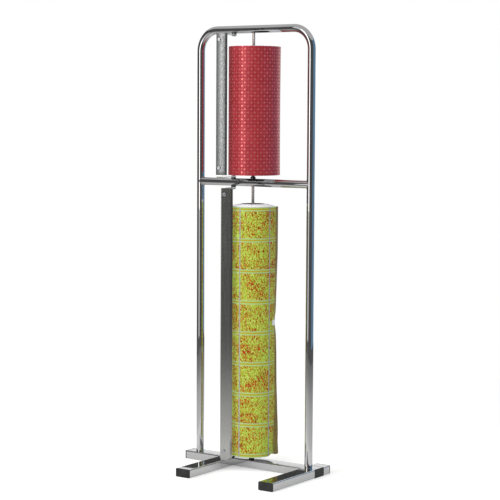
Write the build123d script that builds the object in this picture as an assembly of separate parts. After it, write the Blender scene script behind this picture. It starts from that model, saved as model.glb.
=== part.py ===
"""Floor stand for two rolls of wrapping paper, each on an upright rod with a swinging tear bar.

Millimetres. The origin is on the floor under the axis of the rolls.
X runs along the base rail to the right, Y to the back and Z up.
"""
import os
from math import acos, atan2, cos, degrees, hypot, radians, sin
from build123d import *

# Hoop and crossbar, bent and cut from round chromed tube
tube_diameter = 19.0
tube_wall = 1.2
hoop_bend_radius = 50.0
hoop_offset = 4.5
top_bar_height = 1058.0
crossbar_height = 692.0
vent_diameter = 4.0
top_vent_offset = 31.5
crossbar_vent_offset = 25.0

# Base, welded from flat rectangular tube
base_width = 40.0
base_height = 20.0
base_wall = 1.5
base_corner_radius = 2.5
rail_length = 384.0
upright_inset = 31.0
left_foot_inset = 106.0
foot_reach = 176.0
stub_reach = 27.5

# Plastic caps that close the base tubes
cap_flange = 3.0
cap_depth = 14.0
cap_wall = 2.2
cap_edge_radius = 0.5
cap_lead = 1.0

# Bolts and threaded plugs that hold the hoop on the rail
bolt_diameter = 8.0
bolt_head_diameter = 13.0
bolt_head_height = 5.0
bolt_grip = 16.0
bolt_socket_width = 5.0
bolt_access_diameter = 17.0
plug_length = 24.0

# Paper rolls and their cardboard cores
upper_roll_diameter = 120.0
lower_roll_diameter = 108.0
upper_roll_headroom = 32.0
lower_roll_headroom = 47.0
upper_roll_height = 9.0
lower_roll_height = 15.5
upper_roll_cone = 1.5
lower_roll_cone = 5.8
core_bore = 50.0
core_wall = 3.0

# Loose end of the outer turn of paper
tail_thickness = 0.7
tail_root_angle = -4.0
tail_tip_angle = 38.0
tail_mid_share = 0.3
upper_tail_lifts = (4.8, 4.6, 4.2, 4.8)
upper_tail_shares = (0.0, 0.06, 0.45, 1.0)
lower_tail_lifts = (11.0, 7.5, 4.5, 0.7, 4.4, 6.8, 6.8)
lower_tail_shares = (0.0, 0.04, 0.3, 0.53, 0.7, 0.82, 1.0)

# Plastic plugs that centre each core on its rod
core_plug_height = 18.0
core_plug_wall = 2.4
core_plug_web = 2.5
core_plug_taper = 0.5
core_plug_hub = 15.0
core_plug_rib = 2.0
core_plug_ribs = 6
core_plug_sink = 1.0
top_plug_sink = 36.0

# Rods and the stepped collars that carry the rolls
rod_diameter = 7.0
rod_pin_depth = 4.5
rod_end_chamfer = 0.8
collar_diameter = 13.0
collar_flange_height = 4.0
collar_neck_diameter = 9.0
grub_screw_diameter = 3.0
grub_socket_diameter = 1.5

# Pivots of the tear bars
pivot_offset = 58.0
pivot_diameter = 6.0
pivot_head_diameter = 10.0
pivot_head_height = 1.5
pivot_slot_width = 1.4
pivot_slot_depth = 0.7
pivot_nut_width = 10.0
pivot_nut_height = 3.0
pivot_thread_end = 0.5
spacer_diameter = 12.0
spacer_height = 2.5
boss_diameter = 10.0
boss_length = 12.0

# Bent arms that carry the tear bars
arm_width = 14.0
arm_thickness = 2.0
arm_reach = 80.0
arm_bend_radius = 1.5
arm_tab_margin = 9.0
arm_tab_corner = 4.0
top_screw_drop = 14.6
bottom_screw_rise = 24.0

# Tear bars, folded from sheet steel
bar_thickness = 1.5
bar_lip_gap = 0.3
bar_inner_width = 16.0
bar_lip_width = 4.0
bar_edge_width = 4.5
bar_edge_angle = 25.0
bar_top_overlap = 0.6
bar_bottom_rise = 7.0
upper_bar_standoff = 17.0
lower_bar_standoff = 13.2

# Screws and nuts that hold each tear bar on its arms
screw_diameter = 5.0
screw_head_diameter = 9.6
screw_head_height = 2.7
screw_socket_width = 3.0
screw_socket_depth = 1.6
screw_nut_width = 8.0
screw_nut_height = 4.0
screw_thread_end = 1.2

# Clearances
seat_gap = 0.1
slide_gap = 0.05
weld_gap = 0.05
hole_gap = 0.1
cut_overrun = 1.0

# Places worked out from the sizes above
tube_radius = tube_diameter / 2
upper_roll_radius = upper_roll_diameter / 2
lower_roll_radius = lower_roll_diameter / 2
upper_gap_radius = upper_roll_radius + upper_bar_standoff
lower_gap_radius = lower_roll_radius + lower_bar_standoff
rod_radius = rod_diameter / 2
rail_left = hoop_offset - rail_length / 2
rail_right = hoop_offset + rail_length / 2
left_upright_x = rail_left + upright_inset
right_upright_x = rail_right - upright_inset
left_foot_x = rail_left + left_foot_inset + base_width / 2
right_foot_x = rail_right - base_width / 2
top_bar_under = top_bar_height - tube_radius
crossbar_top = crossbar_height + tube_radius
crossbar_under = crossbar_height - tube_radius
core_radius = core_bore / 2 + core_wall
upper_roll_base = crossbar_top + upper_roll_height
lower_roll_base = base_height + lower_roll_height
upper_roll_length = top_bar_under - upper_roll_headroom - upper_roll_base
lower_roll_length = crossbar_under - lower_roll_headroom - lower_roll_base
pivot_axis = Pos(-pivot_offset, 0, 0)
arm_level = spacer_height + 2 * seat_gap
bar_face = arm_reach + seat_gap
bar_outer_width = arm_width / 2 + bar_lip_gap + bar_thickness


def disc(diameter, bottom, top):
    """Upright cylinder about the Z axis between two heights."""
    return Pos(0, 0, bottom) * extrude(Circle(diameter / 2), top - bottom)


def hexagon(width, bottom, top):
    """Upright hexagonal prism of a given width across its flats."""
    return Pos(0, 0, bottom) * extrude(RegularPolygon(width / 2, 6, major_radius=False), top - bottom)


def frame_hoop():
    """Bent tube of the uprights and the top bar, with its drilled holes."""
    corners = [
        (left_upright_x, 0, base_height + weld_gap),
        (left_upright_x, 0, top_bar_height),
        (right_upright_x, 0, top_bar_height),
        (right_upright_x, 0, base_height + weld_gap),
    ]
    path = FilletPolyline(*corners, radius=hoop_bend_radius)
    ring = Circle(tube_radius) - Circle(tube_radius - tube_wall)
    hoop = sweep(Plane(origin=path @ 0, z_dir=path % 0) * ring, path=path)
    hoop -= disc(rod_diameter + 2 * hole_gap, top_bar_under - cut_overrun, top_bar_height)
    hoop -= pivot_axis * disc(boss_diameter + 2 * slide_gap, top_bar_under - cut_overrun, top_bar_height)
    return hoop - vent(top_vent_offset, top_bar_height)


def vent(offset, height):
    """Drill that opens the front wall of a level tube."""
    drill = extrude(Circle(vent_diameter / 2), tube_radius + cut_overrun)
    return Pos(offset, 0, height) * Rot(90, 0, 0) * drill


def crossbar():
    """Level tube between the uprights, its ends coped to fit them."""
    ring = Circle(tube_radius) - Circle(tube_radius - tube_wall)
    length = right_upright_x - left_upright_x
    bar = Pos(left_upright_x, 0, crossbar_height) * Rot(0, 90, 0) * extrude(ring, length)
    through = (crossbar_under - cut_overrun, crossbar_top + cut_overrun)
    for x in (left_upright_x, right_upright_x):
        bar -= Pos(x, 0, 0) * disc(tube_diameter + 2 * weld_gap, *through)
    bar -= disc(rod_diameter + 2 * hole_gap, *through)
    bar -= pivot_axis * disc(pivot_diameter + 2 * slide_gap, *through)
    return bar - vent(crossbar_vent_offset, crossbar_height)


def base_tube(length):
    """Flat rectangular tube along Y, from the origin to the back, standing on the floor."""
    outer = RectangleRounded(base_width, base_height, base_corner_radius)
    inner_radius = max(base_corner_radius - base_wall, base_wall / 2)
    inner = RectangleRounded(base_width - 2 * base_wall, base_height - 2 * base_wall, inner_radius)
    return Pos(0, 0, base_height / 2) * Rot(-90, 0, 0) * extrude(outer - inner, length)


def base_rail():
    """Rail under the uprights, with holes for the bolts, the rod and a pivot."""
    length = rail_length - 2 * cap_flange - 2 * weld_gap
    rail = Pos(rail_left + cap_flange + weld_gap, 0, 0) * Rot(0, 0, -90) * base_tube(length)
    top_wall = (base_height - 2 * base_wall, base_height + cut_overrun)
    for x in (left_upright_x, right_upright_x):
        bolt_hole = disc(bolt_diameter + 2 * hole_gap, *top_wall)
        access = disc(bolt_access_diameter, -cut_overrun, 2 * base_wall)
        rail -= Pos(x, 0, 0) * (bolt_hole + access)
    rail -= disc(rod_diameter + 2 * hole_gap, *top_wall)
    return rail - pivot_axis * disc(boss_diameter + 2 * slide_gap, *top_wall)


def foot(x, reach, side):
    """Tube welded square to the rail, to the front (-1) or to the back (1)."""
    start = base_width / 2 + weld_gap
    tube = base_tube(reach - cap_flange - 2 * weld_gap)
    turn = Rot(0, 0, 0) if side > 0 else Rot(0, 0, 180)
    return Pos(x, side * start, 0) * turn * tube


def end_cap():
    """Hollow plug with a rounded flange, facing the front with its flange at the origin."""
    flange = extrude(RectangleRounded(base_width, base_height, base_corner_radius), cap_flange)
    flange = fillet(flange.faces().sort_by(Axis.Z)[-1].edges(), cap_edge_radius)
    plug_width = base_width - 2 * base_wall - 2 * slide_gap
    plug_height = base_height - 2 * base_wall - 2 * slide_gap
    plug = extrude(RectangleRounded(plug_width, plug_height, base_wall), -cap_depth)
    plug = chamfer(plug.faces().sort_by(Axis.Z)[0].edges(), cap_lead)
    hollow = extrude(Rectangle(plug_width - 2 * cap_wall, plug_height - 2 * cap_wall), -cap_depth)
    return Pos(0, 0, base_height / 2) * Rot(90, 0, 0) * (flange + plug - hollow)


def upright_plug():
    """Threaded plug held in the foot of an upright."""
    bottom = base_height + weld_gap
    plug = disc(tube_diameter - 2 * tube_wall - 2 * slide_gap, bottom, bottom + plug_length)
    plug = chamfer(plug.faces().sort_by(Axis.Z)[-1].edges(), cap_lead)
    thread = bolt_diameter + 2 * slide_gap
    return plug - disc(thread, bottom - cut_overrun, bottom + plug_length + cut_overrun)


def upright_bolt():
    """Socket bolt that rises through the rail into the plug."""
    seat = base_height - base_wall - seat_gap
    head = disc(bolt_head_diameter, seat - bolt_head_height, seat)
    socket_top = seat - bolt_head_height / 2
    head -= hexagon(bolt_socket_width, seat - bolt_head_height - cut_overrun, socket_top)
    return head + disc(bolt_diameter, seat, base_height + bolt_grip)


def polar(radius, angle):
    """Point at a radius and an angle about the roll's axis."""
    return (radius * cos(radians(angle)), radius * sin(radians(angle)))


def tail_section(roll_radius, lift):
    """Plan of the loose paper end where its tip stands off by the given lift."""
    mid_angle = (tail_root_angle + tail_tip_angle) / 2
    mid_lift = lift * tail_mid_share
    root_outer = polar(roll_radius - tail_thickness / 2, tail_root_angle)
    mid_outer = polar(roll_radius + mid_lift, mid_angle)
    tip_outer = polar(roll_radius + lift, tail_tip_angle)
    tip_inner = polar(roll_radius + lift - tail_thickness, tail_tip_angle)
    mid_inner = polar(roll_radius + mid_lift - tail_thickness, mid_angle)
    root_inner = polar(roll_radius - tail_thickness - tail_thickness / 2, tail_root_angle)
    outline = [
        ThreePointArc(root_outer, mid_outer, tip_outer),
        Line(tip_outer, tip_inner),
        ThreePointArc(tip_inner, mid_inner, root_inner),
        Line(root_inner, root_outer),
    ]
    return make_face(outline)


def paper(roll_radius, base, length, cone, shares, lifts):
    """Wound paper whose inner turns have crept up, with the loose end of its outer turn."""
    bore = core_radius + slide_gap
    profile = Polyline(
        (bore, base + cone), (roll_radius, base),
        (roll_radius, base + length), (bore, base + length + cone), close=True,
    )
    wound = revolve(Plane.XZ * make_face(profile), Axis.Z)
    sections = [
        Pos(0, 0, base + share * length) * tail_section(roll_radius, lift)
        for share, lift in zip(shares, lifts)
    ]
    return wound + loft(sections, ruled=True)


def cardboard_core(base, length):
    """Cardboard tube that the paper is wound on."""
    core = disc(2 * core_radius, base, base + length)
    return core - disc(core_bore, base - cut_overrun, base + length + cut_overrun)


def core_plug():
    """Ribbed plug, web down, its foot at the origin, that centres a core on a rod."""
    outer = core_bore / 2 - slide_gap
    inner = outer - core_plug_wall
    hub = core_plug_hub / 2
    bore = rod_radius + slide_gap
    top = core_plug_height
    profile = Polyline(
        (bore, 0), (outer, 0), (outer - core_plug_taper, top), (inner - core_plug_taper, top),
        (inner, core_plug_web), (hub, core_plug_web), (hub, top), (bore, top), close=True,
    )
    plug = revolve(Plane.XZ * make_face(profile), Axis.Z)
    rib_length = outer - core_plug_wall / 2 - core_plug_taper - hub + core_plug_web / 2
    rib_top = top - core_plug_web
    rib_start = hub - core_plug_web / 2
    rib = Pos(rib_start + rib_length / 2, 0, 0) * extrude(Rectangle(rib_length, core_plug_rib), rib_top)
    for turn in range(core_plug_ribs):
        plug += Rot(0, 0, turn * 360 / core_plug_ribs) * rib
    return plug


def spindle_rod(seat, ceiling):
    """Rod whose pins drop into the bar below and reach into the bar above."""
    rod = disc(rod_diameter, seat - rod_pin_depth, ceiling + rod_pin_depth)
    ends = rod.edges().filter_by(GeomType.CIRCLE)
    return chamfer(ends, rod_end_chamfer)


def spindle_collar(seat, core_base):
    """Stepped collar on the rod: its flange rests on the bar and its neck carries the plug."""
    bottom = seat + seat_gap
    flange_top = bottom + collar_flange_height
    top = core_base + core_plug_sink - seat_gap
    collar = disc(collar_diameter, bottom, flange_top) + disc(collar_neck_diameter, flange_top, top)
    collar -= disc(rod_diameter + 2 * slide_gap, bottom - cut_overrun, top + cut_overrun)
    return collar - grub_drill(seat, grub_screw_diameter + 2 * slide_gap, collar_diameter / 2 + cut_overrun)


def grub_drill(seat, diameter, reach):
    """Level cylinder to the back of the collar, from the rod outwards."""
    start = rod_radius + slide_gap
    height = seat + seat_gap + collar_flange_height / 2
    return Pos(0, start, height) * Rot(-90, 0, 0) * extrude(Circle(diameter / 2), reach - start)


def collar_screw(seat):
    """Grub screw that grips the rod in the collar's flange."""
    outer = collar_diameter / 2 - slide_gap
    screw = grub_drill(seat, grub_screw_diameter, outer)
    socket = grub_drill(seat, grub_socket_diameter, outer + cut_overrun)
    depth = (outer - rod_radius) / 2
    return screw - Pos(0, depth, 0) * socket


def pivot_spacer(bottom):
    """Plain washer between a bar and an arm."""
    spacer = disc(spacer_diameter, bottom, bottom + spacer_height)
    bore = disc(pivot_diameter + 2 * slide_gap, bottom - cut_overrun, bottom + spacer_height + cut_overrun)
    return pivot_axis * (spacer - bore)


def pivot_boss(face, direction):
    """Threaded bush welded into a bar, flush with the face that the spacer rests on."""
    low, high = sorted((face, face + direction * boss_length))
    boss = disc(boss_diameter, low, high)
    return pivot_axis * (boss - disc(pivot_diameter + 2 * slide_gap, low - cut_overrun, high + cut_overrun))


def pivot_screw(face, direction):
    """Slotted screw through an arm and a spacer into the boss behind the given face."""
    outward = -direction
    head_seat = face + outward * (arm_level + arm_thickness + seat_gap)
    head_end = head_seat + outward * pivot_head_height
    head = disc(pivot_head_diameter, *sorted((head_seat, head_end)))
    slot_floor = head_end - outward * pivot_slot_depth
    slot_low, slot_high = sorted((slot_floor, head_end + outward * cut_overrun))
    slot = Rectangle(pivot_head_diameter + cut_overrun, pivot_slot_width)
    head -= Pos(0, 0, slot_low) * extrude(slot, slot_high - slot_low)
    shank = disc(pivot_diameter, *sorted((head_seat, face + direction * boss_length)))
    return pivot_axis * (head + shank)


def crossbar_bolt():
    """Through bolt that pivots the lower end of one tear bar and the upper end of the other."""
    head_seat = crossbar_top + arm_level + arm_thickness + seat_gap
    head = disc(pivot_head_diameter, head_seat, head_seat + pivot_head_height)
    head = fillet(head.faces().sort_by(Axis.Z)[-1].edges(), pivot_head_height / 2)
    nut_foot = crossbar_under - arm_level - arm_thickness - seat_gap - pivot_nut_height
    return pivot_axis * (head + disc(pivot_diameter, nut_foot - pivot_thread_end, head_seat))


def crossbar_nut():
    """Hexagonal nut under the crossbar's through bolt."""
    top = crossbar_under - arm_level - arm_thickness - seat_gap
    nut = hexagon(pivot_nut_width, top - pivot_nut_height, top)
    bore = disc(pivot_diameter + 2 * slide_gap, top - pivot_nut_height - cut_overrun, top + cut_overrun)
    return pivot_axis * (nut - bore)


def bar_angle(gap_radius):
    """Angle of an arm about its pivot that holds the tearing edge at a radius from the roll's axis."""
    edge_x, edge_y = tearing_edge()
    reach = hypot(edge_x, edge_y)
    turn = acos((pivot_offset ** 2 + reach ** 2 - gap_radius ** 2) / (2 * pivot_offset * reach))
    return -degrees(turn) - degrees(atan2(edge_y, edge_x))


def tearing_edge():
    """Corner of the tear bar nearest the paper, in the frame of its arm."""
    bend = radians(bar_edge_angle)
    return (bar_face - bar_edge_width * sin(bend), bar_inner_width + bar_edge_width * cos(bend))


def arm(face, direction, screw_distance):
    """Bent arm along X from its pivot: direction is 1 where its tab rises and -1 where it hangs."""
    level = face + direction * arm_level
    far = level + direction * (screw_distance + arm_tab_margin)
    near_face = level + direction * arm_thickness
    side_view = Polyline(
        (-arm_width / 2, level), (arm_reach, level), (arm_reach, far),
        (arm_reach - arm_thickness, far), (arm_reach - arm_thickness, near_face),
        (-arm_width / 2, near_face), close=True,
    )
    blank = extrude(Plane.XZ * make_face(side_view), arm_width / 2, both=True)
    inner = [e for e in blank.edges().filter_by(Axis.Y) if on_line(e, arm_reach - arm_thickness, near_face)]
    blank = fillet(inner, arm_bend_radius)
    outer = [e for e in blank.edges().filter_by(Axis.Y) if on_line(e, arm_reach, level)]
    blank = fillet(outer, arm_bend_radius + arm_thickness)
    tips = blank.edges().filter_by(Axis.X).filter_by(lambda e: abs(e.center().Z - far) < arm_thickness)
    blank = fillet(tips, arm_tab_corner)
    low, high = sorted((level, far))
    straight = Pos(arm_reach / 2, 0, 0) * Rectangle(arm_reach, arm_width)
    plan = Pos(0, 0, low) * extrude(straight + Circle(arm_width / 2), high - low)
    blank = blank & plan
    blank -= disc(pivot_diameter + 2 * slide_gap, low - cut_overrun, high + cut_overrun)
    return blank - level_drill(face + direction * (arm_level + screw_distance))


def on_line(edge, x, z):
    """Whether an edge across the arm runs through a place in its side view."""
    middle = edge.center()
    return abs(middle.X - x) < arm_thickness / 2 and abs(middle.Z - z) < arm_thickness / 2


def level_drill(height):
    """Drill along X through a tab and a tear bar at a screw's height."""
    length = 2 * arm_thickness + 2 * bar_thickness
    drill = extrude(Circle(screw_diameter / 2 + slide_gap), length, both=True)
    return Pos(arm_reach, 0, height) * Rot(0, 90, 0) * drill


def tear_bar(bottom, top, screw_heights):
    """Folded strip on the outer faces of the tabs, with a stiffening lip and a tearing edge."""
    back = bar_face + bar_thickness
    edge_x, edge_y = tearing_edge()
    edge_depth = bar_thickness * cos(radians(bar_edge_angle))
    outline = Polyline(
        (bar_face - bar_lip_width, -bar_outer_width), (back, -bar_outer_width),
        (back, bar_inner_width), (edge_x + edge_depth, edge_y),
        (edge_x, edge_y), (bar_face, bar_inner_width),
        (bar_face, bar_thickness - bar_outer_width),
        (bar_face - bar_lip_width, bar_thickness - bar_outer_width), close=True,
    )
    strip = Pos(0, 0, bottom) * extrude(make_face(outline), top - bottom)
    corner = [e for e in strip.edges().filter_by(Axis.Z) if on_corner(e, back, -bar_outer_width)]
    strip = fillet(corner, bar_thickness)
    for height in screw_heights:
        strip -= level_drill(height)
    return strip


def on_corner(edge, x, y):
    """Whether an upright edge of the strip passes through a place in its plan."""
    middle = edge.center()
    return abs(middle.X - x) < bar_thickness / 2 and abs(middle.Y - y) < bar_thickness / 2


def bar_screw(height):
    """Round-headed socket screw through a tear bar and a tab."""
    seat = arm_reach + 2 * seat_gap + bar_thickness
    head = extrude(Circle(screw_head_diameter / 2), screw_head_height)
    head = fillet(head.faces().sort_by(Axis.Z)[-1].edges(), screw_head_height * 3 / 4)
    socket = extrude(RegularPolygon(screw_socket_width / 2, 6, major_radius=False), screw_socket_depth)
    head -= Pos(0, 0, screw_head_height - screw_socket_depth) * socket
    shank_length = 2 * seat_gap + bar_thickness + arm_thickness + seat_gap + screw_nut_height
    shank = extrude(Circle(screw_diameter / 2), -shank_length - screw_thread_end)
    return Pos(seat, 0, height) * Rot(0, 90, 0) * (head + shank)


def bar_nut(height):
    """Hexagonal nut behind a tab."""
    seat = arm_reach - arm_thickness - seat_gap
    nut = hexagon(screw_nut_width, -screw_nut_height, 0)
    nut -= disc(screw_diameter + 2 * slide_gap, -screw_nut_height - cut_overrun, cut_overrun)
    return Pos(seat, 0, height) * Rot(0, 90, 0) * nut


def frame_nodes():
    """Pieces that stay with the frame."""
    cap = end_cap()
    front = base_width / 2 + foot_reach - cap_flange
    rear = base_width / 2 + stub_reach - cap_flange
    nodes = {
        "frame_hoop": frame_hoop(),
        "crossbar": crossbar(),
        "base_rail": base_rail(),
        "left_front_foot": foot(left_foot_x, foot_reach, -1),
        "right_front_foot": foot(right_foot_x, foot_reach, -1),
        "left_rear_foot": foot(left_foot_x, stub_reach, 1),
        "right_rear_foot": foot(right_foot_x, stub_reach, 1),
        "left_front_cap": Pos(left_foot_x, -front, 0) * cap,
        "right_front_cap": Pos(right_foot_x, -front, 0) * cap,
        "left_rear_cap": Pos(left_foot_x, rear, 0) * Rot(0, 0, 180) * cap,
        "right_rear_cap": Pos(right_foot_x, rear, 0) * Rot(0, 0, 180) * cap,
        "left_rail_cap": Pos(rail_left + cap_flange, 0, 0) * Rot(0, 0, -90) * cap,
        "right_rail_cap": Pos(rail_right - cap_flange, 0, 0) * Rot(0, 0, 90) * cap,
        "top_pivot_spacer": pivot_spacer(top_bar_under - seat_gap - spacer_height),
        "crossbar_top_spacer": pivot_spacer(crossbar_top + seat_gap),
        "crossbar_under_spacer": pivot_spacer(crossbar_under - seat_gap - spacer_height),
        "base_pivot_spacer": pivot_spacer(base_height + seat_gap),
        "top_pivot_boss": pivot_boss(top_bar_under, 1),
        "base_pivot_boss": pivot_boss(base_height, -1),
        "top_pivot_screw": pivot_screw(top_bar_under, 1),
        "base_pivot_screw": pivot_screw(base_height, -1),
        "crossbar_pivot_bolt": crossbar_bolt(),
        "crossbar_pivot_nut": crossbar_nut(),
    }
    for name, x in (("left", left_upright_x), ("right", right_upright_x)):
        nodes[name + "_upright_plug"] = Pos(x, 0, 0) * upright_plug()
        nodes[name + "_upright_bolt"] = Pos(x, 0, 0) * upright_bolt()
    return nodes


def roll_nodes(name, seat, ceiling, roll_radius, base, length, cone, shares, lifts):
    """Rod, collar and roll of one bay, between the bar below and the bar above."""
    plug = core_plug()
    core_base = base + cone
    top_plug_height = core_base + length - top_plug_sink
    return {
        name + "_spindle_rod": spindle_rod(seat, ceiling),
        name + "_spindle_collar": spindle_collar(seat, core_base),
        name + "_collar_screw": collar_screw(seat),
        name + "_paper_roll": paper(roll_radius, base, length, cone, shares, lifts),
        name + "_roll_core": cardboard_core(core_base, length),
        name + "_bottom_plug": Pos(0, 0, core_base + core_plug_sink) * plug,
        name + "_top_plug": Pos(0, 0, top_plug_height) * Rot(180, 0, 0) * plug,
    }


def bar_nodes(name, seat, ceiling, gap_radius):
    """Tear bar of one bay with its arms, screws and nuts, swung to its resting place."""
    bottom_screw = seat + arm_level + bottom_screw_rise
    top_screw = ceiling - arm_level - top_screw_drop
    heights = (bottom_screw, top_screw)
    bar_bottom = seat + arm_level + bar_bottom_rise
    bar_top = ceiling - arm_level + bar_top_overlap
    place = pivot_axis * Rot(0, 0, bar_angle(gap_radius))
    return {
        name + "_tear_bar": place * tear_bar(bar_bottom, bar_top, heights),
        name + "_top_arm": place * arm(ceiling, -1, top_screw_drop),
        name + "_bottom_arm": place * arm(seat, 1, bottom_screw_rise),
        name + "_bar_screws": place * Compound(children=[bar_screw(z) for z in heights]),
        name + "_bar_nuts": place * Compound(children=[bar_nut(z) for z in heights]),
    }


nodes = frame_nodes()
upper_roll = (upper_roll_radius, upper_roll_base, upper_roll_length, upper_roll_cone)
lower_roll = (lower_roll_radius, lower_roll_base, lower_roll_length, lower_roll_cone)
nodes |= roll_nodes("upper", crossbar_top, top_bar_under, *upper_roll, upper_tail_shares, upper_tail_lifts)
nodes |= roll_nodes("lower", base_height, crossbar_under, *lower_roll, lower_tail_shares, lower_tail_lifts)
nodes |= bar_nodes("upper", crossbar_top, top_bar_under, upper_gap_radius)
nodes |= bar_nodes("lower", base_height, crossbar_under, lower_gap_radius)

os.makedirs("parts", exist_ok=True)
for node, solid in nodes.items():
    export_step(solid, f"parts/{node}.step")
print(len(nodes), "nodes")
print("arm angles", round(bar_angle(upper_gap_radius), 3), round(bar_angle(lower_gap_radius), 3))
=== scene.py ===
import math
import random

import bmesh
import bpy
from mathutils import Matrix, Vector


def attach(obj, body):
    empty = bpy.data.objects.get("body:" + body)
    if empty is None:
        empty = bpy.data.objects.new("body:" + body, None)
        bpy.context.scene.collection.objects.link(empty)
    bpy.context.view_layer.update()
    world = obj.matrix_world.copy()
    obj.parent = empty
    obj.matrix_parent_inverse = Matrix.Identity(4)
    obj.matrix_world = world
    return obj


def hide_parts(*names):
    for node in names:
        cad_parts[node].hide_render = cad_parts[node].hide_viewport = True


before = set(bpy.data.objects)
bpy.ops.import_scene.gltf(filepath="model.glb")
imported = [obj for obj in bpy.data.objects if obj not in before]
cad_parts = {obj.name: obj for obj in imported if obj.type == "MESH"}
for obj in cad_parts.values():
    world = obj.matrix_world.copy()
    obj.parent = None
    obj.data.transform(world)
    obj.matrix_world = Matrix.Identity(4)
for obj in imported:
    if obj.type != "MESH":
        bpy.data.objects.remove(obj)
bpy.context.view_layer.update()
for spare in ("Cube", "Light", "Camera"):
    if spare in bpy.data.objects:
        bpy.data.objects.remove(bpy.data.objects[spare])


# Hoop, crossbar and base tubes.
# Bent and welded steel tube, ground at the joints and chromed as one frame, so that all of it has
# one mirror finish, a little hazier where hands and a wiping cloth have been.
def new_finish(name):
    """A material with its nodes, links and surface shader."""
    finish = bpy.data.materials.new(name)
    finish.use_nodes = True
    tree = finish.node_tree
    return finish, tree.nodes, tree.links, tree.nodes["Principled BSDF"]


def object_place(nodes):
    """A piece's own coordinates, in metres."""
    return nodes.new("ShaderNodeTexCoord").outputs["Object"]


def node_on(nodes, kind, place, values):
    """A node that reads a place, with its values set."""
    made = nodes.new(kind)
    for key, value in values.items():
        made.inputs[key].default_value = value
    nodes.id_data.links.new(place, made.inputs["Vector"])
    return made


def noise(nodes, place, **values):
    """Noise over a place."""
    return node_on(nodes, "ShaderNodeTexNoise", place, values).outputs["Fac"]


def mapped(nodes, place, **values):
    """A place moved, turned or scaled."""
    return node_on(nodes, "ShaderNodeMapping", place, values).outputs["Vector"]


def ramp(nodes, source, *stops):
    """A colour ramp over a source, from (position, colour) stops."""
    made = nodes.new("ShaderNodeValToRGB")
    while len(made.color_ramp.elements) < len(stops):
        made.color_ramp.elements.new(0.5)
    for stop, (position, colour) in zip(made.color_ramp.elements, stops):
        stop.position = position
        stop.color = (*colour, 1)
    nodes.id_data.links.new(source, made.inputs["Fac"])
    return made.outputs["Color"]


def spread(nodes, source, span, result):
    """A source's span carried over to another span, and held at its ends."""
    made = nodes.new("ShaderNodeMapRange")
    for key, value in zip(("From Min", "From Max", "To Min", "To Max"), (*span, *result)):
        made.inputs[key].default_value = value
    nodes.id_data.links.new(source, made.inputs["Value"])
    return made.outputs["Result"]


def relief(nodes, shader, height, strength, distance):
    """Bump on a shader from a height."""
    made = nodes.new("ShaderNodeBump")
    made.inputs["Strength"].default_value = strength
    made.inputs["Distance"].default_value = distance
    nodes.id_data.links.new(height, made.inputs["Height"])
    nodes.id_data.links.new(made.outputs["Normal"], shader.inputs["Normal"])


def finish_nodes(finish, *names):
    """Gives CAD nodes a finish."""
    for name in names:
        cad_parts[name].data.materials.clear()
        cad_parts[name].data.materials.append(finish)


clear_chrome, hazy_chrome = (0.585, 0.585, 0.592), (0.53, 0.53, 0.538)
chrome, nodes, links, shader = new_finish("chrome_plating")
haze = noise(nodes, object_place(nodes), Scale=11.0, Detail=3.0, Roughness=0.55)
plating = ramp(nodes, haze, (0.3, clear_chrome), (0.75, hazy_chrome))
links.new(plating, shader.inputs["Base Color"])
links.new(spread(nodes, haze, (0.35, 0.7), (0.018, 0.034)), shader.inputs["Roughness"])
shader.inputs["Metallic"].default_value = 1.0
finish_nodes(chrome, "frame_hoop", "crossbar", "base_rail", "left_front_foot", "right_front_foot",
             "left_rear_foot", "right_rear_foot")


# Weld beads.
# One run of weld round each coped end of the crossbar, where it meets an upright of the same tube.
# It is rippled by the welder's stops and plated with the frame.
def face_outward(merge=0.0):
    """Turns the new piece's faces outward, after merging any points closer than a gap."""
    bpy.ops.object.mode_set(mode="EDIT")
    bpy.ops.mesh.select_all(action="SELECT")
    if merge:
        bpy.ops.mesh.remove_doubles(threshold=merge)
    bpy.ops.mesh.normals_make_consistent(inside=False)
    bpy.ops.object.mode_set(mode="OBJECT")


def weld_bead(name, upright, side):
    """Bead along the curve between the crossbar and an upright, on one side of that upright."""
    tube_radius, crossbar_level, bead_radius, cope_rounding = 0.0095, 0.692, 0.0011, 0.03
    ripples, ripple_share, swells, swell_share = 46, 0.16, 9, 0.08
    unit_radius = 0.25
    bpy.ops.mesh.primitive_torus_add(major_segments=120, minor_segments=12, major_radius=1.0,
                                     minor_radius=unit_radius)
    bead = bpy.context.object
    bead.name = name
    for vertex in bead.data.vertices:
        turn = math.atan2(vertex.co.y, vertex.co.x)
        out = math.hypot(vertex.co.x, vertex.co.y) - 1.0
        ripple = ripple_share * math.sin(ripples * turn)
        swell = swell_share * math.sin(swells * turn + 1)
        scale = bead_radius / unit_radius * (1 + ripple + swell)
        away = tube_radius + out * scale
        cope = tube_radius * math.sqrt(math.cos(turn) ** 2 + cope_rounding)
        along = cope + vertex.co.z * scale
        vertex.co = (upright + side * along, away * math.sin(turn),
                     crossbar_level + away * math.cos(turn))
    face_outward()
    bpy.ops.object.shade_smooth()
    bead.data.materials.append(chrome)
    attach(bead, "frame")


weld_bead("left_crossbar_weld", upright=-0.1565, side=1)
weld_bead("right_crossbar_weld", upright=0.1655, side=-1)

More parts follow.
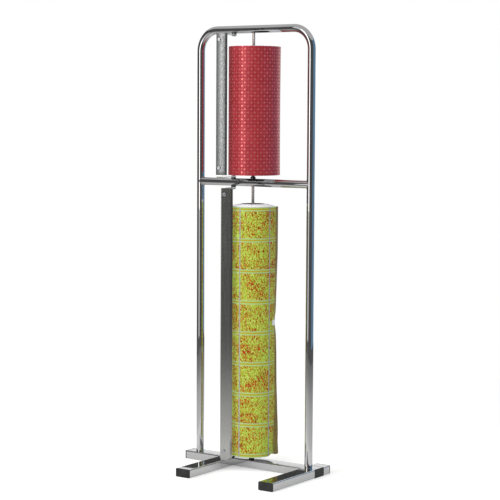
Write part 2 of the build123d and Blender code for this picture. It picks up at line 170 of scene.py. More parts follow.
# Base caps.
# Black polythene caps pushed into the six open ends of the base, with a fine moulded grain and dust
# lying along the grain.
clean_black, dusty_black = (0.012, 0.012, 0.012), (0.026, 0.026, 0.025)
black, nodes, links, shader = new_finish("black_polythene")
place = object_place(nodes)
grain = noise(nodes, place, Scale=900.0, Detail=3.0, Roughness=0.6)
dust = noise(nodes, place, Scale=60.0, Detail=4.0, Roughness=0.65)
links.new(ramp(nodes, dust, (0.35, clean_black), (0.7, dusty_black)), shader.inputs["Base Color"])
links.new(spread(nodes, grain, (0.3, 0.7), (0.42, 0.58)), shader.inputs["Roughness"])
shader.inputs["Specular IOR Level"].default_value = 0.35
relief(nodes, shader, grain, strength=0.25, distance=0.0003)
finish_nodes(black, "left_front_cap", "right_front_cap", "left_rear_cap", "right_rear_cap",
             "left_rail_cap", "right_rail_cap")

# Plugs and bolts of the uprights, bosses, screws and nuts.
# Turned and pressed steel, zinc plated, with the cloudy bloom that the bath leaves. They hold the
# hoop on the rail, carry the pivots and fasten the collars and the tear bars.
dull_zinc, clear_zinc = (0.44, 0.47, 0.50), (0.60, 0.63, 0.66)
zinc_plated, nodes, links, shader = new_finish("zinc_plated_fastener")
bloom = noise(nodes, object_place(nodes), Scale=260.0, Detail=4.0, Roughness=0.6)
links.new(ramp(nodes, bloom, (0.3, dull_zinc), (0.7, clear_zinc)), shader.inputs["Base Color"])
links.new(spread(nodes, bloom, (0.3, 0.7), (0.28, 0.40)), shader.inputs["Roughness"])
shader.inputs["Metallic"].default_value = 1.0
finish_nodes(zinc_plated, "left_upright_plug", "right_upright_plug", "left_upright_bolt",
             "right_upright_bolt", "top_pivot_boss", "base_pivot_boss", "top_pivot_screw",
             "base_pivot_screw", "crossbar_pivot_bolt", "crossbar_pivot_nut", "upper_collar_screw",
             "lower_collar_screw", "upper_bar_screws", "lower_bar_screws", "upper_bar_nuts",
             "lower_bar_nuts")


# Pivot spacers and spindle collars.
# Nylon turned from rod: blue-grey washers that keep the arms clear of the tubes, and black stepped
# collars under the rolls, both with the fine marks of the lathe.
def turned_nylon(name, dark, pale):
    """Nylon in shades between two colours, as the lathe leaves it."""
    finish, nodes, links, shader = new_finish(name)
    cut = noise(nodes, object_place(nodes), Scale=420.0, Detail=3.0)
    links.new(ramp(nodes, cut, (0.3, dark), (0.7, pale)), shader.inputs["Base Color"])
    links.new(spread(nodes, cut, (0.3, 0.7), (0.22, 0.34)), shader.inputs["Roughness"])
    return finish


black_nylon = turned_nylon("black_nylon", (0.020, 0.020, 0.021), (0.040, 0.039, 0.038))
finish_nodes(black_nylon, "upper_spindle_collar", "lower_spindle_collar")
grey_nylon = turned_nylon("blue_grey_nylon", (0.070, 0.090, 0.095), (0.110, 0.135, 0.140))
finish_nodes(grey_nylon, "top_pivot_spacer", "crossbar_top_spacer", "crossbar_under_spacer",
             "base_pivot_spacer")

# Spindle rods.
# Bright drawn steel rod with fine lines along it, loose in holes in the bars above and below, so
# that it lifts out with its roll. Its warm tan colour is a painted reflection of the warm soft box.
lines_and_warm_sheen_dark, lines_and_warm_sheen_pale = (0.90, 0.76, 0.69), (0.96, 0.84, 0.77)
bright, nodes, links, shader = new_finish("warm_sheen_drawn_steel")
drawn = mapped(nodes, object_place(nodes), Scale=(900.0, 900.0, 6.0))
lines = noise(nodes, drawn, Scale=1.0, Detail=2.0)
links.new(ramp(nodes, lines, (0.3, lines_and_warm_sheen_dark), (0.7, lines_and_warm_sheen_pale)), shader.inputs["Base Color"])
links.new(spread(nodes, lines, (0.3, 0.7), (0.50, 0.58)), shader.inputs["Roughness"])
shader.inputs["Metallic"].default_value = 1.0
finish_nodes(bright, "upper_spindle_rod", "lower_spindle_rod")

# Cardboard cores.
# Tubes of spirally wound dark grey board, cut square and with a fibrous face, on which the paper
# is wound.
board_dark, board_pale = (0.012, 0.011, 0.010), (0.030, 0.028, 0.025)
board, nodes, links, shader = new_finish("dark_grey_board")
fibre = noise(nodes, object_place(nodes), Scale=340.0, Detail=5.0, Roughness=0.7)
links.new(ramp(nodes, fibre, (0.3, board_dark), (0.7, board_pale)), shader.inputs["Base Color"])
shader.inputs["Roughness"].default_value = 0.9
relief(nodes, shader, fibre, strength=0.3, distance=0.0003)
finish_nodes(board, "upper_roll_core", "lower_roll_core")

# Core plugs.
# Grey polypropylene, moulded with six ribs, a push fit in the core and free on the rod.
moulded_dark, moulded_pale = (0.06, 0.06, 0.063), (0.10, 0.10, 0.105)
grey, nodes, links, shader = new_finish("grey_polypropylene")
flow = noise(nodes, object_place(nodes), Scale=150.0, Detail=3.0)
links.new(ramp(nodes, flow, (0.3, moulded_dark), (0.7, moulded_pale)), shader.inputs["Base Color"])
links.new(spread(nodes, flow, (0.3, 0.7), (0.4, 0.55)), shader.inputs["Roughness"])
finish_nodes(grey, "upper_bottom_plug", "upper_top_plug", "lower_bottom_plug", "lower_top_plug")


# Winding of the paper rolls.
# Wrapping paper wound on its core, the inner turns crept up a little. The outer turn is a real
# sheet that ends in a loose tail at the right, white on its back, and the cut ends show layers.
def distance_out(nodes, place):
    """How far a place lies from the origin."""
    made = nodes.new("ShaderNodeVectorMath")
    made.operation = "LENGTH"
    nodes.id_data.links.new(place, made.inputs[0])
    return made.outputs["Value"]


edge_dark, edge_pale = (0.78, 0.75, 0.79), (0.90, 0.88, 0.90)
paper_edge, nodes, links, shader = new_finish("cut_paper_edges")
flat_place = mapped(nodes, object_place(nodes), Scale=(1.0, 1.0, 0.0))
ring_noise = nodes.new("ShaderNodeTexNoise")
ring_noise.noise_dimensions = "1D"
ring_noise.inputs["Scale"].default_value = 900.0
ring_noise.inputs["Detail"].default_value = 5.0
links.new(distance_out(nodes, flat_place), ring_noise.inputs["W"])
layers = ring_noise.outputs["Fac"]
links.new(ramp(nodes, layers, (0.3, edge_dark), (0.6, edge_pale)), shader.inputs["Base Color"])
shader.inputs["Roughness"].default_value = 0.85
relief(nodes, shader, layers, strength=0.3, distance=0.0004)

back_dark, back_pale = (0.74, 0.72, 0.70), (0.82, 0.81, 0.79)
paper_back, nodes, links, shader = new_finish("white_paper_back")
pulp = noise(nodes, object_place(nodes), Scale=220.0, Detail=5.0, Roughness=0.7)
links.new(ramp(nodes, pulp, (0.3, back_dark), (0.7, back_pale)), shader.inputs["Base Color"])
shader.inputs["Roughness"].default_value = 0.8

tail_tip, tail_root = 38.0, -4.0
smooth_angle = math.radians(30)


def give_wall(made, thickness, offset, back=0, even=False):
    """Thickens a sheet inward (-1) or outward (1), with the back's number in its finishes."""
    wall = made.modifiers.new("wall", "SOLIDIFY")
    wall.thickness = thickness
    wall.offset = offset
    wall.material_offset = back
    wall.material_offset_rim = back
    wall.use_even_offset = even
    bpy.ops.object.modifier_apply(modifier="wall")


def wound_layers(radius, base, length, cone, seed):
    """The inner turns as one spun ring, with the layers of its ends a little uneven."""
    core_radius, sheet_room, rings, uneven, creep = 0.02806, 0.00115, 44, 0.0006, 1.7
    chance = random.Random(seed)
    bpy.ops.mesh.primitive_circle_add(vertices=4, radius=0.001)
    made = bpy.context.object
    wound = radius - sheet_room
    depth = radius - core_radius
    turns = [core_radius + (wound - core_radius) * i / rings for i in range(rings + 1)]
    low, high = [], []
    for turn in turns:
        hollow = base + cone * (radius - turn) / depth
        low.append((turn, hollow + uneven - uneven * chance.random() ** 2))
    for turn in turns:
        crept = base + cone * (1 - ((turn - core_radius) / depth) ** creep)
        high.append((turn, crept + length - uneven * chance.random() ** 2))
    mesh = bmesh.new()
    spots = [mesh.verts.new((turn, 0, z)) for turn, z in low + high[::-1]]
    for start, end in zip(spots, spots[1:] + spots[:1]):
        mesh.edges.new((start, end))
    mesh.to_mesh(made.data)
    mesh.free()
    bpy.ops.object.mode_set(mode="EDIT")
    bpy.ops.mesh.select_all(action="SELECT")
    bpy.ops.mesh.spin(steps=96, angle=2 * math.pi, center=(0, 0, 0), axis=(0, 0, 1))
    face_outward(merge=0.00001)
    made.data.materials.append(paper_edge)
    return made


def outer_sheet(finish, radius, base, length, drop, tail, hem):
    """The outer turn as a thin sheet, slipped down, with a loose tail and a worn lower edge."""
    turn_in, crowding, curl, worn_share = 0.0008, 1.4, 0.15, 0.05
    tail_span = tail_tip - tail_root
    bpy.ops.mesh.primitive_grid_add(x_subdivisions=200, y_subdivisions=70, size=1)
    made = bpy.context.object
    for vertex in made.data.vertices:
        gone = (0.5 - vertex.co.x) * (360.0 + tail_span)
        up = (vertex.co.y + 0.5) ** crowding
        if gone < tail_span:
            rest = 1 - gone / tail_span
            distance = radius + tail(up) * rest * rest * (1 + curl - curl * rest)
        else:
            distance = radius - turn_in * (gone - tail_span) / 360.0
        polar = tail_tip - gone
        angle = math.radians(polar)
        worn = hem(polar) * max(0.0, 1 - up / worn_share)
        vertex.co = (distance * math.cos(angle), distance * math.sin(angle),
                     base - drop + up * (length + drop) + worn)
    made.data.materials.append(finish)
    made.data.materials.append(paper_back)
    give_wall(made, thickness=0.0003, offset=-1.0, back=1)
    bpy.ops.object.shade_smooth_by_angle(angle=smooth_angle)
    return made


def wound_roll(name, finish, radius, base, length, cone, drop, tail, hem, seed):
    """Wound layers and the outer sheet of one roll, as one piece."""
    inner = wound_layers(radius, base, length, cone, seed)
    made = outer_sheet(finish, radius, base, length, drop, tail, hem)
    inner.select_set(True)
    bpy.context.view_layer.objects.active = made
    bpy.ops.object.join()
    made.name = name
    return made


# Short roll in the upper bay.
# Red paper with rows of small foil rosettes, each with a spot between its neighbours. Its outer
# turn ends in a tail that stands off evenly.
def maths(nodes, operation, a, b=0.0):
    """A maths node on sockets or numbers."""
    made = nodes.new("ShaderNodeMath")
    made.operation = operation
    for socket, value in zip(made.inputs, (a, b)):
        if isinstance(value, (int, float)):
            socket.default_value = value
        else:
            nodes.id_data.links.new(value, socket)
    return made.outputs["Value"]


def around_and_up(nodes, links):
    """A roll's place, the turns round its axis, -0.5 to 0.5 at the sheet's end, and the height."""
    place = object_place(nodes)
    seam_at_back = math.pi - math.radians(tail_tip)
    axes = nodes.new("ShaderNodeSeparateXYZ")
    links.new(mapped(nodes, place, Rotation=(0.0, 0.0, seam_at_back)), axes.inputs["Vector"])
    angle = maths(nodes, "ARCTAN2", axes.outputs["Y"], axes.outputs["X"])
    return place, maths(nodes, "DIVIDE", angle, 2 * math.pi), axes.outputs["Z"]


def from_middle(nodes, cells, size):
    """Distance from the middle of a cell, from a count of cells and a cell's size."""
    inside = maths(nodes, "FRACT", cells)
    return maths(nodes, "MULTIPLY", maths(nodes, "SUBTRACT", inside, 0.5), size)


def reach(nodes, dx, dy):
    """Distance from two offsets."""
    dx_squared, dy_squared = maths(nodes, "MULTIPLY", dx, dx), maths(nodes, "MULTIPLY", dy, dy)
    return maths(nodes, "SQRT", maths(nodes, "ADD", dx_squared, dy_squared))


def over(nodes, factor, below, above):
    """One colour laid over another by a factor."""
    made = nodes.new("ShaderNodeMix")
    made.data_type = "RGBA"
    factor_socket, below_socket, above_socket = (made.inputs[i] for i in (0, 6, 7))
    for socket, value in ((factor_socket, factor), (below_socket, below), (above_socket, above)):
        if isinstance(value, tuple):
            socket.default_value = (*value, 1)
        else:
            nodes.id_data.links.new(value, socket)
    return made.outputs[2]


row_mm, rosettes_round, petal_mm = 7.85, 24.0, 1.3
red_dark, red_pale, foil = (0.37, 0.020, 0.032), (0.45, 0.032, 0.048), (0.77, 0.21, 0.185)
red_paper, nodes, links, shader = new_finish("red_foil_rosette_paper")
place, turns, height = around_and_up(nodes, links)
rows = maths(nodes, "DIVIDE", height, row_mm / 1000)
odd_row = maths(nodes, "FLOORED_MODULO", maths(nodes, "FLOOR", rows), 2.0)
half_cell = maths(nodes, "MULTIPLY", odd_row, 0.5)
columns = maths(nodes, "ADD", maths(nodes, "MULTIPLY", turns, rosettes_round), half_cell)
dx, dy = from_middle(nodes, columns, 2 * row_mm), from_middle(nodes, rows, row_mm)
double_turn = maths(nodes, "MULTIPLY", maths(nodes, "ARCTAN2", dy, dx), 2.0)
petals = maths(nodes, "ABSOLUTE", maths(nodes, "COSINE", double_turn))
petal = maths(nodes, "MULTIPLY", petals, petal_mm)
beyond = maths(nodes, "SUBTRACT", reach(nodes, dx, dy), petal)
rosette = spread(nodes, beyond, (1.0, 1.7), (1.0, 0.0))
between = maths(nodes, "SUBTRACT", row_mm, maths(nodes, "ABSOLUTE", dx))
spot = spread(nodes, reach(nodes, between, dy), (0.9, 1.5), (0.75, 0.0))
dot = maths(nodes, "MAXIMUM", rosette, spot)
cloud = noise(nodes, place, Scale=45.0, Detail=4.0)
ground = ramp(nodes, cloud, (0.3, red_dark), (0.7, red_pale))
links.new(over(nodes, dot, ground, foil), shader.inputs["Base Color"])
links.new(spread(nodes, dot, (0.0, 1.0), (0.22, 0.56)), shader.inputs["Metallic"])
links.new(spread(nodes, dot, (0.0, 1.0), (0.36, 0.19)), shader.inputs["Roughness"])


def red_tail(up):
    """How far the red sheet's tip stands off at a share of its height."""
    least, spring, slackest = 0.0042, 0.0024, 0.45
    return least + spring * (up - slackest) ** 2


def straight_hem(polar):
    """The red sheet's lower edge is cut straight all round."""
    return 0.0


red_roll = wound_roll("upper_wound_paper", red_paper, radius=0.060, base=0.7105, length=0.306,
                      cone=0.0015, drop=0.0, tail=red_tail, hem=straight_hem, seed=3)
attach(red_roll, "upper_roll")
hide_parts("upper_paper_roll")

# Long roll in the lower bay.
# Yellow-green paper printed with a mottled check between pale bands and grey lines. Its outer turn
# has slipped down, is worn at the corner and springs open. Its end is painted brown: painted shade
# where the loose flap turns away from the light, and wear from handling.
leaf_dark, leaf_mid, leaf_pale = (0.24, 0.36, 0.012), (0.43, 0.59, 0.040), (0.56, 0.74, 0.20)
ochre, brick, scarlet = (0.42, 0.19, 0.010), (0.25, 0.034, 0.003), (0.48, 0.016, 0.010)
line_grey, shade_and_handling_brown = (0.33, 0.34, 0.37), (0.15, 0.066, 0.004)
band_tints = (((4.4, 4.8), (0.38, 0.44, 0.36)), ((3.7, 4.0), (0.52, 0.68, 0.30)),
              ((2.8, 3.2), (0.34, 0.55, 0.09)), ((0.9, 1.2), (0.52, 0.29, 0.015)))
check_height_mm, check_width_mm, checks_round = 74.2, 78.5, 4.32
first_band, first_line = 0.0001, 0.871
green_paper, nodes, links, shader = new_finish("green_check_paper")
place, turns, height = around_and_up(nodes, links)
mottle = noise(nodes, place, Scale=330.0, Detail=3.0, Roughness=0.7)
printed = ramp(nodes, mottle, (0.36, leaf_dark), (0.48, leaf_mid), (0.64, leaf_pale))
gather = noise(nodes, place, Scale=26.0, Detail=2.0)
crowd = spread(nodes, gather, (0.35, 0.65), (-0.05, 0.05))
slant = mapped(nodes, place, Rotation=(0.5, 0.6, 0.0), Scale=(1.0, 1.0, 0.55))
leaf = noise(nodes, slant, Scale=400.0, Detail=1.5, Distortion=0.8)
leaves = spread(nodes, maths(nodes, "ADD", leaf, crowd), (0.555, 0.58), (0.0, 1.0))
printed = over(nodes, leaves, printed, ochre)
cross = mapped(nodes, place, Rotation=(-0.6, 0.4, 0.3), Scale=(1.0, 1.0, 0.6),
               Location=(0.3, 0.1, 0.7))
fleck = noise(nodes, cross, Scale=370.0, Detail=1.5, Distortion=0.9)
strokes = spread(nodes, maths(nodes, "ADD", fleck, crowd), (0.568, 0.585), (0.0, 1.0))
tint = noise(nodes, place, Scale=120.0, Detail=1.0)
printed = over(nodes, strokes, printed, ramp(nodes, tint, (0.42, brick), (0.58, scarlet)))
above_first = maths(nodes, "SUBTRACT", height, first_band)
check_rows = maths(nodes, "DIVIDE", above_first, check_height_mm / 1000)
band = maths(nodes, "ABSOLUTE", from_middle(nodes, check_rows, check_height_mm))
for half_width, band_tint in band_tints:
    printed = over(nodes, spread(nodes, band, half_width, (1.0, 0.0)), printed, band_tint)
check_columns = maths(nodes, "ADD", maths(nodes, "MULTIPLY", turns, checks_round), first_line)
line = maths(nodes, "ABSOLUTE", from_middle(nodes, check_columns, check_width_mm))
printed = over(nodes, spread(nodes, line, (1.5, 1.9), (0.9, 0.0)), printed, line_grey)
upright_streaks = mapped(nodes, place, Scale=(420.0, 420.0, 9.0))
streak = noise(nodes, upright_streaks, Scale=1.0, Detail=3.0)
# The end of the sheet is painted brown in a band that widens towards the bottom: painted shade
# where the flap turns away from the light, and wear from handling.
wider = spread(nodes, height, (0.07, 0.17), (0.018, -0.006))
margin = spread(nodes, maths(nodes, "ADD", turns, wider), (0.436, 0.456), (0.0, 1.0))
shade_and_handling = maths(nodes, "MULTIPLY", margin, spread(nodes, streak, (0.35, 0.6), (0.55, 1.0)))
links.new(over(nodes, shade_and_handling, printed, shade_and_handling_brown), shader.inputs["Base Color"])
shader.inputs["Roughness"].default_value = 0.48
shader.inputs["Specular IOR Level"].default_value = 0.18


def green_tail(up):
    """How far the green sheet's tip stands off at a share of its height: taped at the middle."""
    stations_mm = ((0.0, 11.0), (0.02, 10.4), (0.05, 9.5), (0.10, 9.8), (0.20, 7.5), (0.30, 5.6),
                   (0.40, 4.9), (0.46, 4.0), (0.495, 3.0), (0.52, 0.6), (0.5365, 0.5),
                   (0.553, 0.6), (0.58, 2.6), (0.62, 3.4), (0.70, 4.6), (0.82, 6.6), (1.0, 6.8))
    for (low, start), (high, end) in zip(stations_mm, stations_mm[1:]):
        if up <= high:
            share = (up - low) / (high - low)
            eased = 0.6 * share + 0.4 * share * share * (3 - 2 * share)
            return 0.001 * (start + (end - start) * eased)


def worn_hem(polar):
    """How far the green sheet's lower edge is worn away at an angle round the roll."""
    deepest, middle, half_span = 0.0052, 9, 10
    away = (polar - middle + 180) % 360 - 180
    return deepest * math.exp(-(away / half_span) ** 2)


green_radius = 0.054
green_roll = wound_roll("lower_wound_paper", green_paper, radius=green_radius, base=0.0355,
                        length=0.600, cone=0.0058, drop=0.003, tail=green_tail, hem=worn_hem,
                        seed=8)
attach(green_roll, "lower_roll")
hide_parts("lower_paper_roll")

# Tape on the long roll.
# A short strip of pale paper tape pressed over the sheet's end at half height, which keeps the long
# roll closed. It steps down from the sheet onto the roll, and its torn end waves a little.
tape_start, tape_span, tape_level, tape_width = 8, 44, 0.356, 0.013
torn_edge, wave, waves = -0.49, 0.8, 9
sheet_end, step_span = tail_tip + 0.5, 4
tail_rise, over_sheet, step_rise, over_roll = 0.0006, 0.0002, 0.0007, 0.00012
bpy.ops.mesh.primitive_grid_add(x_subdivisions=48, y_subdivisions=4, size=1)
tape = bpy.context.object
tape.name = "closing_tape"
for vertex in tape.data.vertices:
    torn = wave * math.sin(waves * vertex.co.y) if vertex.co.x < torn_edge else 0.0
    polar = tape_start + (vertex.co.x + 0.5) * tape_span + torn
    if polar < sheet_end:
        rest = max(0.0, (polar - tail_root) / (tail_tip - tail_root))
        distance = green_radius + (tail_rise * rest * rest + over_sheet)
    else:
        rest = max(0.0, 1 - (polar - sheet_end) / step_span)
        distance = green_radius + (step_rise * rest + over_roll)
    angle = math.radians(polar)
    vertex.co = (distance * math.cos(angle), distance * math.sin(angle),
                 tape_level + tape_width * vertex.co.y)
give_wall(tape, thickness=0.00015, offset=1.0)
bpy.ops.object.shade_smooth_by_angle(angle=smooth_angle)
tape_dark, tape_pale = (0.84, 0.85, 0.91), (0.90, 0.91, 0.96)
pale_tape, nodes, links, shader = new_finish("pale_paper_tape")
crepe = noise(nodes, object_place(nodes), Scale=900.0, Detail=3.0)
links.new(ramp(nodes, crepe, (0.3, tape_dark), (0.7, tape_pale)), shader.inputs["Base Color"])
links.new(spread(nodes, crepe, (0.3, 0.7), (0.35, 0.5)), shader.inputs["Roughness"])
relief(nodes, shader, crepe, strength=0.3, distance=0.0002)
tape.data.materials.append(pale_tape)
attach(tape, "lower_roll")

# Lower tear bar and the arms.
# Folded from smooth, dark zinc-coated sheet steel with fine lines from the mill. The arms swing on
# the pivots, and the bar is screwed to their tabs.
zinc_dark, zinc_pale = (0.40, 0.40, 0.385), (0.47, 0.47, 0.455)
zinc, nodes, links, shader = new_finish("smooth_zinc_sheet")
place = object_place(nodes)
spangle = noise(nodes, place, Scale=420.0, Detail=3.0, Roughness=0.75)
lines = noise(nodes, mapped(nodes, place, Scale=(700.0, 700.0, 12.0)), Scale=1.0, Detail=2.0)
links.new(ramp(nodes, spangle, (0.35, zinc_dark), (0.65, zinc_pale)), shader.inputs["Base Color"])
links.new(spread(nodes, lines, (0.3, 0.7), (0.15, 0.20)), shader.inputs["Roughness"])
shader.inputs["Metallic"].default_value = 1.0
finish_nodes(zinc, "lower_tear_bar", "upper_top_arm", "upper_bottom_arm", "lower_top_arm",
             "lower_bottom_arm")

# Upper tear bar.
# A strip of zinc-coated steel with a lively spangle, rolled to a low crown, with a stiff lip folded
# back on one side and a tearing edge on the other. It lies flat on the arms' tabs, screwed to them.
steel_dark, steel_pale = (0.17, 0.19, 0.21), (0.50, 0.505, 0.50)
spangled_zinc, nodes, links, shader = new_finish("spangled_zinc_strip")
spangle = noise(nodes, object_place(nodes), Scale=520.0, Detail=3.0, Roughness=0.8)
links.new(ramp(nodes, spangle, (0.37, steel_dark), (0.63, steel_pale)), shader.inputs["Base Color"])
links.new(spread(nodes, spangle, (0.3, 0.7), (0.42, 0.34)), shader.inputs["Roughness"])
shader.inputs["Metallic"].default_value = 1.0
relief(nodes, shader, spangle, strength=1.0, distance=0.00005)


def crown_face(across):
    """How far out from the pivot the crowned face lies, by the place across it."""
    crest, fall, crest_place = 0.0824, 9.0, 0.0062
    return crest - fall * (across - crest_place) ** 2


lip_start, lip_side, lip_step, lip_points = 0.07605, -0.0088, 0.0009, 3
fold, lean, fold_steps = 0.0019, math.radians(13.6), 6
face_step, face_steps, edge_steps = 0.00097, 24, 4
tip_out, tip_across = 0.07951, 0.02008
bar_foot, bar_length, tab_half_width, tab_face = 0.7112, 0.3352, 0.0072, 0.08005
bar_pivot, bar_angle = (-0.058, 0, 0), math.radians(-79.433)
fold_end = lip_side + fold * (1 - math.sin(lean))
fold_middle = crown_face(fold_end) - fold * math.cos(lean)
section = [(lip_start + i * lip_step, lip_side) for i in range(lip_points)]
for i in range(fold_steps + 1):
    turn = -math.pi / 2 + (math.pi / 2 - lean) * i / fold_steps
    section.append((fold_middle + fold * math.cos(turn), lip_side + fold + fold * math.sin(turn)))
for i in range(1, face_steps + 1):
    across = fold_end + i * face_step
    section.append((crown_face(across), across))
edge_out, edge_across = section[-1]
for i in range(1, edge_steps + 1):
    share = i / edge_steps
    section.append((edge_out + (tip_out - edge_out) * share,
                    edge_across + (tip_across - edge_across) * share))
bpy.ops.mesh.primitive_grid_add(x_subdivisions=len(section) - 1, y_subdivisions=30, size=1)
strip = bpy.context.object
strip.name = "upper_crowned_bar"
for vertex in strip.data.vertices:
    out, across = section[round((vertex.co.x + 0.5) * (len(section) - 1))]
    vertex.co = (out, across, bar_foot + bar_length * (vertex.co.y + 0.5))
give_wall(strip, thickness=0.0015, offset=-1.0, even=True)
for vertex in strip.data.vertices:
    if abs(vertex.co.y) < tab_half_width:
        vertex.co.x = max(vertex.co.x, tab_face)
edges = strip.modifiers.new("edges", "BEVEL")
edges.width = 0.00025
edges.segments = 2
edges.limit_method = "ANGLE"
edges.angle_limit = math.radians(50)
bpy.ops.object.modifier_apply(modifier="edges")
face_outward(merge=0.000002)
strip.data.transform(Matrix.Translation(bar_pivot) @ Matrix.Rotation(bar_angle, 4, "Z"))
bpy.ops.object.shade_smooth_by_angle(angle=smooth_angle)
strip.data.materials.append(spangled_zinc)
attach(strip, "upper_tear_bar")
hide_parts("upper_tear_bar")


# Floor.
# A round white studio floor that fades into the backdrop at its rim and keeps the stand's soft
# shadow. Its own glow is seen by the camera and in the metal, and lights no piece.
def round_card(name, radius, level):
    """A flat round card at a level, with its place in its mesh."""
    bpy.ops.mesh.primitive_circle_add(vertices=96, radius=radius, fill_type="NGON",
                                      location=(0, 0, level))
    made = bpy.context.object
    made.name = name
    bpy.ops.object.transform_apply(location=True)
    return made


def seen_rays(nodes):
    """One for rays from the camera, reflections and glass, nothing for light on the pieces."""
    ray = nodes.new("ShaderNodeLightPath").outputs
    seen = maths(nodes, "ADD", ray["Is Camera Ray"], ray["Is Glossy Ray"])
    seen = maths(nodes, "ADD", seen, ray["Is Transmission Ray"])
    return maths(nodes, "MINIMUM", seen, 1.0)


floor = round_card("studio_floor", radius=1.9, level=-0.0005)
fade_span, glow_share, floor_white = (0.5, 1.6), 0.32, (0.80, 0.80, 0.80, 1)
pale, nodes, links, shader = new_finish("white_floor")
nodes.remove(shader)
shown = seen_rays(nodes)
matt = nodes.new("ShaderNodeBsdfDiffuse")
matt.inputs["Color"].default_value = floor_white
glow = nodes.new("ShaderNodeEmission")
links.new(maths(nodes, "MULTIPLY", shown, glow_share), glow.inputs["Strength"])
lit = nodes.new("ShaderNodeAddShader")
links.new(matt.outputs["BSDF"], lit.inputs[0])
links.new(glow.outputs["Emission"], lit.inputs[1])
white = nodes.new("ShaderNodeEmission")
links.new(shown, white.inputs["Strength"])
fade = nodes.new("ShaderNodeMixShader")
out = distance_out(nodes, object_place(nodes))
links.new(spread(nodes, out, fade_span, (0.0, 1.0)), fade.inputs["Fac"])
links.new(lit.outputs["Shader"], fade.inputs[1])
links.new(white.outputs["Emission"], fade.inputs[2])
links.new(fade.outputs["Shader"], nodes["Material Output"].inputs["Surface"])
floor.data.materials.append(pale)


# Studio flags.
# Grey and blue-grey cloth in a ring round the stand and overhead, which only the metal sees, with
# a gap for the tall soft light and a dark batten that the tops of the feet mirror. A grey sheet on
# the floor, also seen only in the metal, is painted shade and grey tone of the floor round the
# stand.
def cloth(name, colour):
    """Plain cloth that gives back a fixed share of white."""
    finish, nodes, links, shader = new_finish(name)
    nodes.remove(shader)
    glow = nodes.new("ShaderNodeEmission")
    glow.inputs["Color"].default_value = (*colour, 1)
    links.new(glow.outputs["Emission"], nodes["Material Output"].inputs["Surface"])
    return finish


def mirror_only(made, finish):
    """Makes a stage card that only reflections see."""
    made.data.materials.append(finish)
    made.visible_camera = False
    made.visible_diffuse = False
    made.visible_shadow = False


def flag(name, start, end, low, high, finish):
    """Curved cloth between two angles from the camera's side, each edge given at both ends."""
    ring_radius, camera_side = 2.3, -55
    bpy.ops.mesh.primitive_plane_add(size=1)
    made = bpy.context.object
    made.name = name
    bpy.ops.object.mode_set(mode="EDIT")
    bpy.ops.mesh.subdivide(number_cuts=31)
    bpy.ops.object.mode_set(mode="OBJECT")
    for vertex in made.data.vertices:
        across, up = vertex.co.x + 0.5, vertex.co.y + 0.5
        angle = math.radians(camera_side + start + across * (end - start))
        bottom = low[0] + across * (low[1] - low[0])
        top = high[0] + across * (high[1] - high[0])
        vertex.co = (ring_radius * math.cos(angle), ring_radius * math.sin(angle),
                     bottom + up * (top - bottom))
    mirror_only(made, finish)


dark = cloth("dark_flag_cloth", (0.105, 0.105, 0.105))
blue = cloth("blue_flag_cloth", (0.17, 0.32, 0.48))
batten = cloth("dark_batten", (0.06, 0.06, 0.06))
ceiling = cloth("pale_ceiling_cloth", (0.66, 0.66, 0.66))
ceiling_level = 2.42
flag_foot, flag_top = (-0.1, -0.1), (ceiling_level, ceiling_level)
flag("front_flag", start=-36, end=47, low=flag_foot, high=flag_top, finish=dark)
flag("right_flag", start=47, end=128, low=flag_foot, high=flag_top, finish=blue)
flag("left_flag", start=-165, end=-66, low=flag_foot, high=flag_top, finish=dark)
flag("back_batten", start=173.5, end=187.3, low=(0.560, 0.470), high=(0.631, 0.537), finish=batten)
mirror_only(round_card("overhead_cloth", radius=2.4, level=ceiling_level), ceiling)

# A glowing grey sheet on the floor that only the metal sees, nearly clear under the stand and
# greyer outward: painted shade and grey tone of the floor round the stand, as the tubes mirror it.
apron = round_card("floor_cloth", radius=2.28, level=0.0004)
apron_reach, painted_floor_shade_grey, middle_cover, rim_cover = 2.3, (0.125, 0.125, 0.125, 1), 0.02, 1.0
covers = ((0.045, 0.26), (0.09, 0.32), (0.13, 0.24), (0.17, 0.24), (0.22, 0.40), (0.44, 0.55),
          (0.65, 0.76))
floor_shade_finish, nodes, links, shader = new_finish("painted_floor_shade")
nodes.remove(shader)
cover = nodes.new("ShaderNodeFloatCurve")
curve = cover.mapping.curves[0]
for spot, share in covers:
    curve.points.new(spot, share)
curve.points[0].location = (0.0, middle_cover)
curve.points[-1].location = (1.0, rim_cover)
cover.mapping.update()
out = distance_out(nodes, object_place(nodes))
links.new(spread(nodes, out, (0.0, apron_reach), (0.0, 1.0)), cover.inputs["Value"])
clear = nodes.new("ShaderNodeBsdfTransparent")
glow = nodes.new("ShaderNodeEmission")
glow.inputs["Color"].default_value = painted_floor_shade_grey
mixed = nodes.new("ShaderNodeMixShader")
links.new(cover.outputs["Value"], mixed.inputs["Fac"])
links.new(clear.outputs["BSDF"], mixed.inputs[1])
links.new(glow.outputs["Emission"], mixed.inputs[2])
links.new(mixed.outputs["Shader"], nodes["Material Output"].inputs["Surface"])
mirror_only(apron, floor_shade_finish)


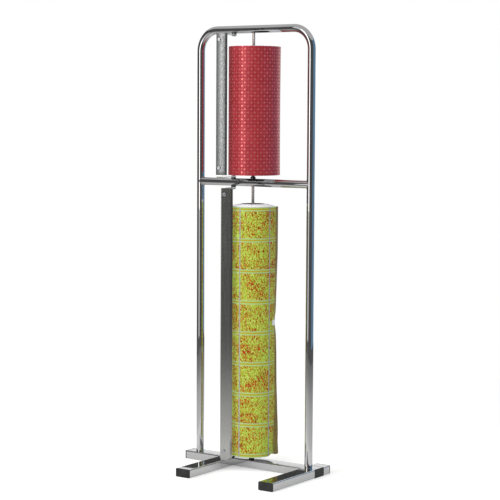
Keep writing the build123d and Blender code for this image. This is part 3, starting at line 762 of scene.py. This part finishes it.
# Soft lights.
# A tall warm soft box at the front left draws the bright line on the tubes. The others, which the
# metal does not mirror, light the paper, fill the shade behind the bars and hang overhead.
def soft_box(name, location, size, watts, colour=(1.0, 1.0, 1.0), mirrored=False):
    """Area light that faces the stand's middle, of a width and a height."""
    middle = Vector((0, 0, 0.6))
    bpy.ops.object.light_add(type="AREA", location=location)
    made = bpy.context.object
    made.name = name
    made.data.shape = "RECTANGLE"
    made.data.size, made.data.size_y = size
    made.data.energy = watts
    made.data.color = colour
    made.rotation_euler = (middle - made.location).to_track_quat("-Z", "Y").to_euler()
    made.visible_glossy = mirrored


soft_box("tall_soft_box", (-0.58, -2.28, 1.33), size=(0.46, 1.8), watts=7.5,
         colour=(1.0, 0.93, 0.88), mirrored=True)
soft_box("paper_soft_box", (0.3, -2.28, 1.5), size=(2.4, 1.7), watts=25.0)
soft_box("left_soft_box", (-2.1, -0.75, 1.1), size=(0.9, 1.7), watts=22.0)
soft_box("overhead_soft_box", (0.2, -0.5, 2.5), size=(1.6, 1.2), watts=8.0)

# Backdrop.
# An even white studio, plain white where it is seen and a little dimmer as light on the pieces.
light_share = 0.68
world = bpy.data.worlds.new("white_studio")
bpy.context.scene.world = world
world.use_nodes = True
nodes, links = world.node_tree.nodes, world.node_tree.links
backdrop = nodes["Background"]
strength = spread(nodes, seen_rays(nodes), (0.0, 1.0), (light_share, 1.0))
links.new(strength, backdrop.inputs["Strength"])
backdrop.inputs["Color"].default_value = (1, 1, 1, 1)

# Camera.
# A long lens about 4 m away at the photograph's angle, a little above the stand's middle.
azimuth, pitch, roll = math.radians(35.254), math.radians(4.788), math.radians(0.301)
away, aside, eye_level = 3.9561, -0.0065, 0.8608
sensor_mm, focal_pixels, picture_pixels = 36.0, 1646.57, 500
eye = (away * math.sin(azimuth) + aside * math.cos(azimuth),
       aside * math.sin(azimuth) - away * math.cos(azimuth), eye_level)
bpy.ops.object.camera_add(location=eye)
camera = bpy.context.object
turned = Matrix.Rotation(azimuth, 4, "Z")
tipped = Matrix.Rotation(math.pi / 2 - pitch, 4, "X")
rolled = Matrix.Rotation(roll, 4, "Z")
camera.rotation_euler = (turned @ tipped @ rolled).to_euler()
camera.data.sensor_width = sensor_mm
camera.data.lens = sensor_mm * focal_pixels / picture_pixels
bpy.context.scene.camera = camera
bpy.context.scene.view_settings.view_transform = "Standard"
